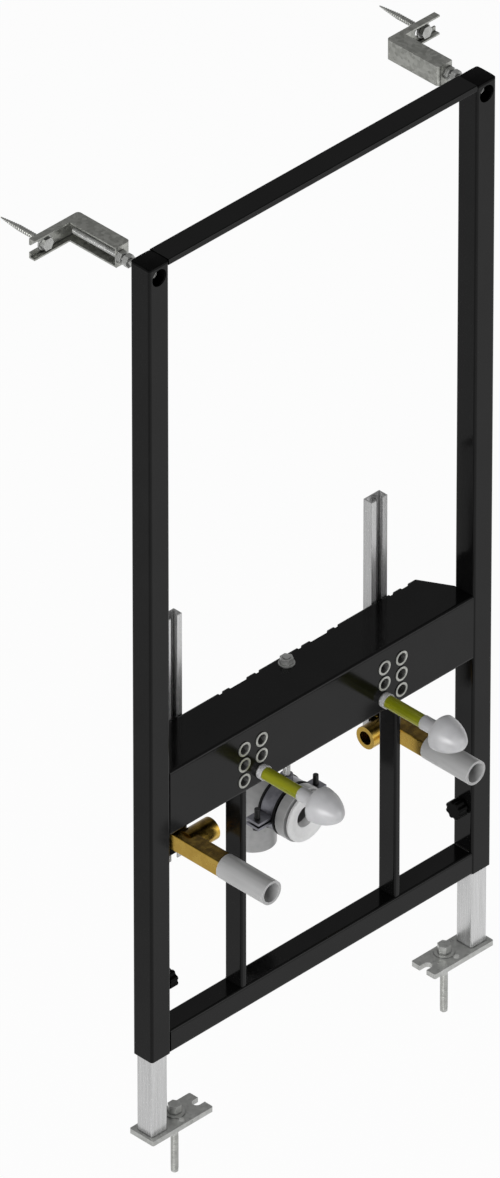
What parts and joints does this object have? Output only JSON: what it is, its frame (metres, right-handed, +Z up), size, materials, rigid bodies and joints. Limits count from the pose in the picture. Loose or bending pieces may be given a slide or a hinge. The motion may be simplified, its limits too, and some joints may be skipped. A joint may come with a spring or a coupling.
{
  "type": "bidet installation frame",
  "caption": "Black steel wall frame on telescopic feet that carries a wall-hung bidet, with threaded fixing studs, water outlets, a drain elbow and wall brackets.",
  "frame": {"origin": "underside of the left foot plate, under the axis of the left upright", "axes": "+X towards the right upright, +Y towards the wall, +Z up along the uprights"},
  "size_m": [0.584, 0.308, 1.17],
  "materials": {
    "black_paint": "glossy black powder coat",
    "black_plastic": "moulded black plastic",
    "black_steel": "black coated steel",
    "clamp_steel": "dark plated steel band",
    "black_rubber": "black rubber",
    "zinc_steel": "galvanised steel",
    "bright_zinc": "smooth bright zinc on drawn steel",
    "dark_zinc": "dull zinc on pressed steel",
    "brass": "cast brass",
    "grey_plastic": "grey plastic pipe",
    "pale_plastic": "pale grey plastic",
    "green_plastic": "translucent green plastic",
    "white_rubber": "white sealing ring"
  },
  "bodies": {
    "left_leg": {"left_leg": "bright_zinc", "left_foot_plate": "zinc_steel", "left_floor_screw": "zinc_steel"},
    "frame": {"uprights": "black_paint", "end_caps": "black_plastic", "top_bar": "black_paint", "bottom_bar": "black_paint", "mounting_beam": "black_paint", "bushes": "dark_zinc", "posts": "black_paint", "rails": "bright_zinc", "water_elbows": "brass", "elbow_seats": "black_plastic", "water_pipes": "grey_plastic", "studs": "zinc_steel", "stud_collars": "pale_plastic", "stud_sleeves": "green_plastic", "stud_flanges": "pale_plastic", "stud_nuts": "zinc_steel", "stud_caps": "pale_plastic", "drain_elbow": "grey_plastic", "drain_seal": "white_rubber", "clamp_lining": "black_rubber", "clamp_upper": "clamp_steel", "clamp_lower": "clamp_steel", "clamp_screws": "black_steel", "hanger_rod": "zinc_steel", "hanger_nuts": "zinc_steel", "clamp_knobs": "black_plastic", "spindles": "zinc_steel"},
    "right_leg": {"right_leg": "bright_zinc", "right_foot_plate": "zinc_steel", "right_floor_screw": "zinc_steel"},
    "left_bracket": {"left_wall_bracket": "dark_zinc", "left_bracket_nuts": "zinc_steel", "left_wall_screw": "zinc_steel"},
    "right_bracket": {"right_wall_bracket": "dark_zinc", "right_bracket_nuts": "zinc_steel", "right_wall_screw": "zinc_steel"}
  },
  "joints": [
    {"name": "frame_lift", "type": "slide", "parent": "left_leg", "child": "frame", "axis": [0, 0, 1], "range_m": [-0.08, 0.1]},
    {"name": "right_leg_slide", "type": "slide", "parent": "frame", "child": "right_leg", "axis": [0, 0, -1], "range_m": [-0.08, 0.1]},
    {"name": "left_bracket_slide", "type": "slide", "parent": "frame", "child": "left_bracket", "axis": [0, 1, 0], "range_m": [0, 0.04]},
    {"name": "right_bracket_slide", "type": "slide", "parent": "frame", "child": "right_bracket", "axis": [0, 1, 0], "range_m": [0, 0.04]}
  ],
  "couplings": [
    {"joint": "right_leg_slide", "follows": "frame_lift", "ratio": 1}
  ]
}
